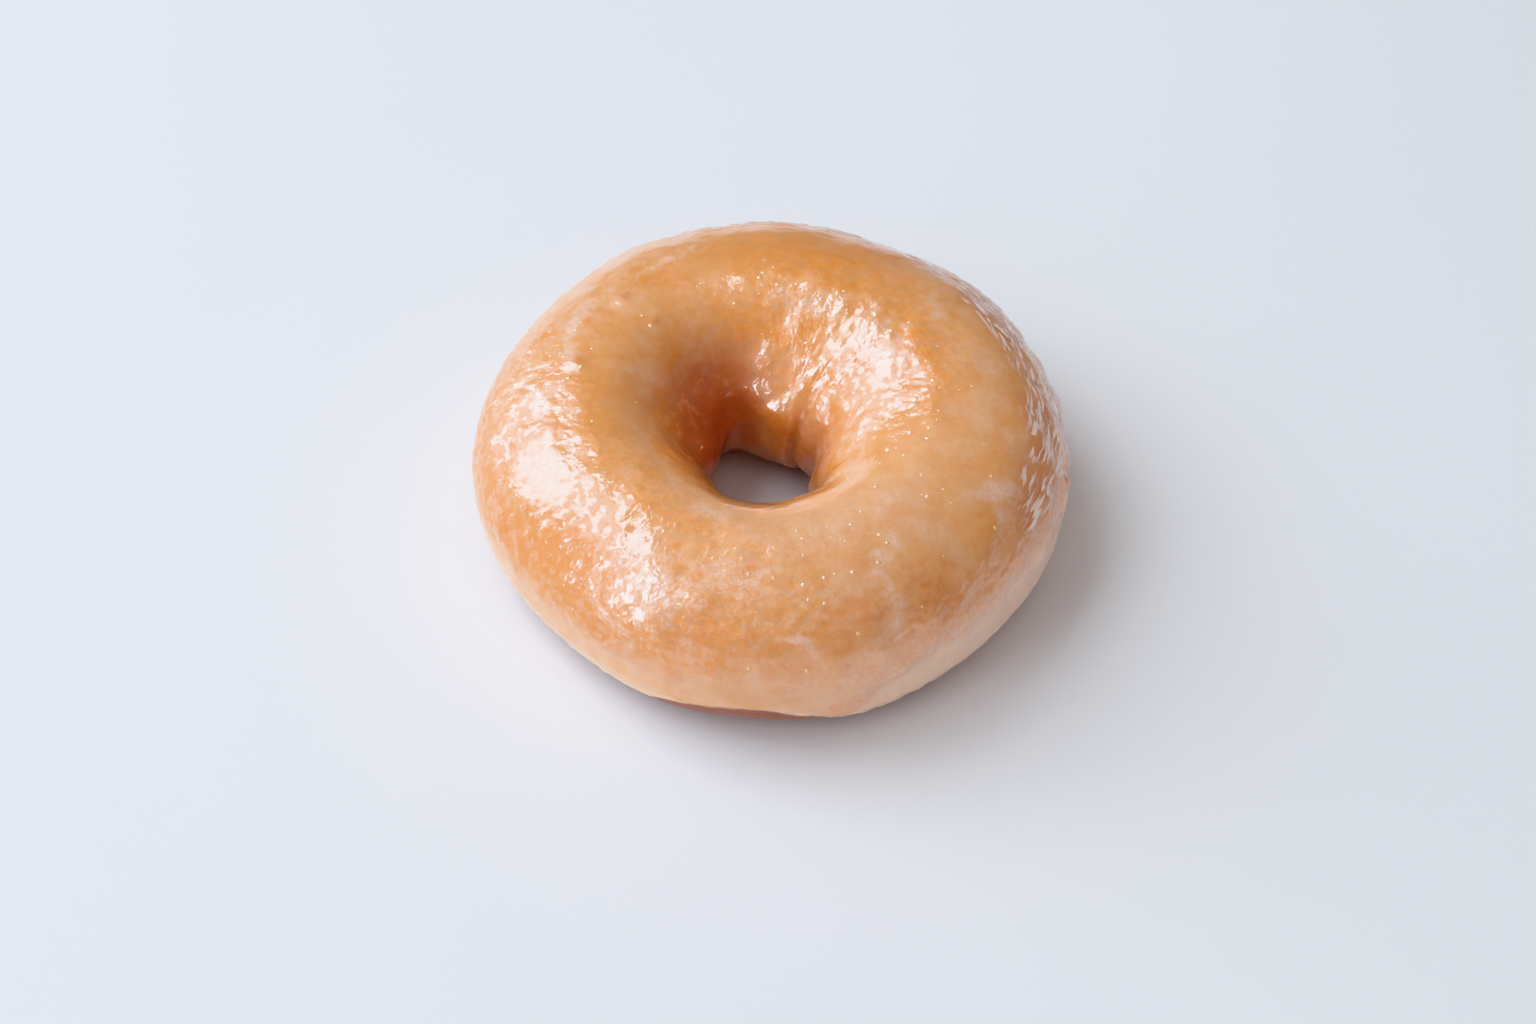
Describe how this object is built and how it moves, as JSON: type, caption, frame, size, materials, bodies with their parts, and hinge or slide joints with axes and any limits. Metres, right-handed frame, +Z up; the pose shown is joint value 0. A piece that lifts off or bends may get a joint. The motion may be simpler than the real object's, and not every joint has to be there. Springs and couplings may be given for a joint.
{
  "type": "ring doughnut",
  "caption": "Glazed yeast-raised ring doughnut with a pale waist, a funnel-shaped hole and an uneven rounded outline, resting on its flat underside.",
  "frame": {"origin": "on the resting plane, under the middle of the doughnut's outline", "axes": "+Z up through the hole, -Y towards the front"},
  "size_m": [0.0972, 0.0964, 0.0319],
  "materials": {
    "glazed_crust": "golden-brown fried crust under a thin glossy sugar glaze, with a paler band round the waist"
  },
  "bodies": {
    "root": {"doughnut": "glazed_crust"}
  },
  "joints": []
}
